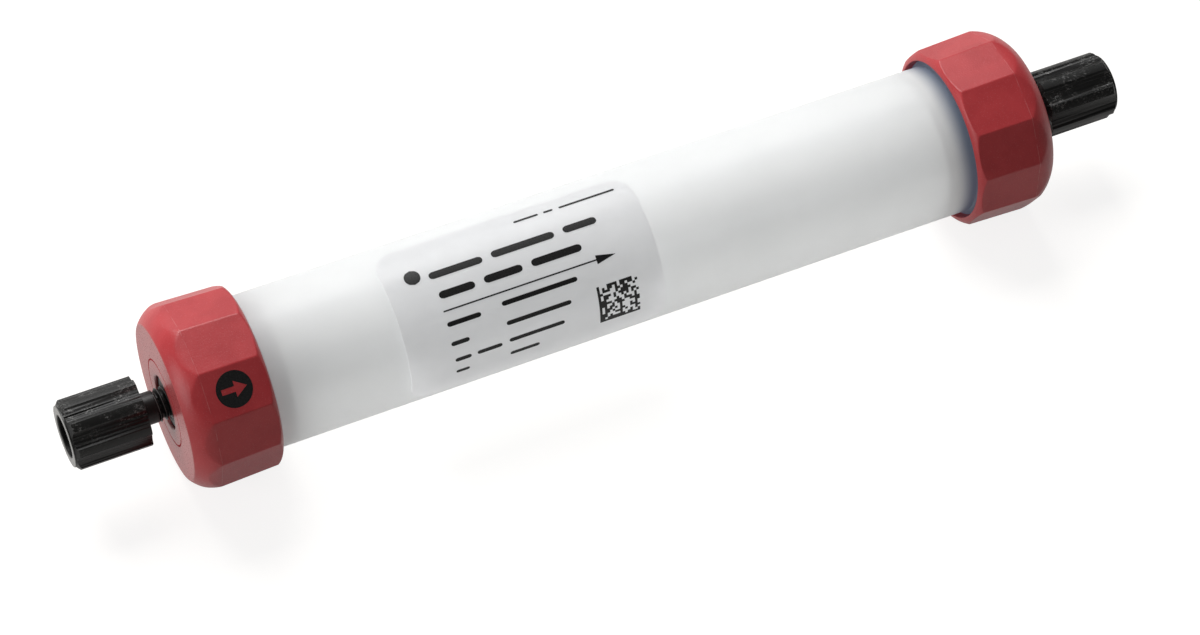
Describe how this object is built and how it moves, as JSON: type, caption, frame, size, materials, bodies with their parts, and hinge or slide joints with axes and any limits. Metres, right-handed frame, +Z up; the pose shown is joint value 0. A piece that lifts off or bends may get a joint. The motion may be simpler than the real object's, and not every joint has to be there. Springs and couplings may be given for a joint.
{
  "type": "chromatography column",
  "caption": "Prepacked chromatography column: a milky tube with twelve-sided screw caps, threaded ports and fluted stop plugs, lying on its side.",
  "frame": {"origin": "bottom centre of the whole part as it lies, stop plugs included", "axes": "+X along the column's axis in the direction of flow, from inlet to outlet, and +Z up from the bench"},
  "size_m": [0.1606, 0.027, 0.027],
  "materials": {
    "tube_plastic": "milky, nearly opaque moulded plastic with a soft gloss",
    "bed_beads": "fine wet beads, packed",
    "cap_plastic": "red moulded plastic with a fine sparkling grain",
    "end_piece_plastic": "smooth dark moulded plastic",
    "seal_rubber": "smooth moulded rubber",
    "insert_plastic": "plain moulded plastic",
    "frit_plastic": "sintered, porous",
    "plug_plastic": "black moulded plastic, semi-gloss, lightly scuffed",
    "label_film": "satin silvery white film with plain printed marks"
  },
  "bodies": {
    "column": {"column_tube": "tube_plastic", "packed_bed": "bed_beads", "inlet_screw_cap": "cap_plastic", "outlet_screw_cap": "cap_plastic", "inlet_end_piece": "end_piece_plastic", "outlet_end_piece": "end_piece_plastic", "inlet_o_ring": "seal_rubber", "outlet_o_ring": "seal_rubber", "inlet_flow_distributor": "insert_plastic", "outlet_flow_distributor": "insert_plastic", "inlet_frit": "frit_plastic", "outlet_frit": "frit_plastic", "label": "label_film"},
    "inlet_plug": {"inlet_stop_plug": "plug_plastic"},
    "outlet_plug": {"outlet_stop_plug": "plug_plastic"}
  },
  "joints": [
    {"name": "inlet_plug_unscrew", "type": "slide", "parent": "column", "child": "inlet_plug", "axis": [-1, 0, 0], "range_m": [0, 0.0065]},
    {"name": "outlet_plug_unscrew", "type": "slide", "parent": "column", "child": "outlet_plug", "axis": [1, 0, 0], "range_m": [0, 0.0065]}
  ]
}
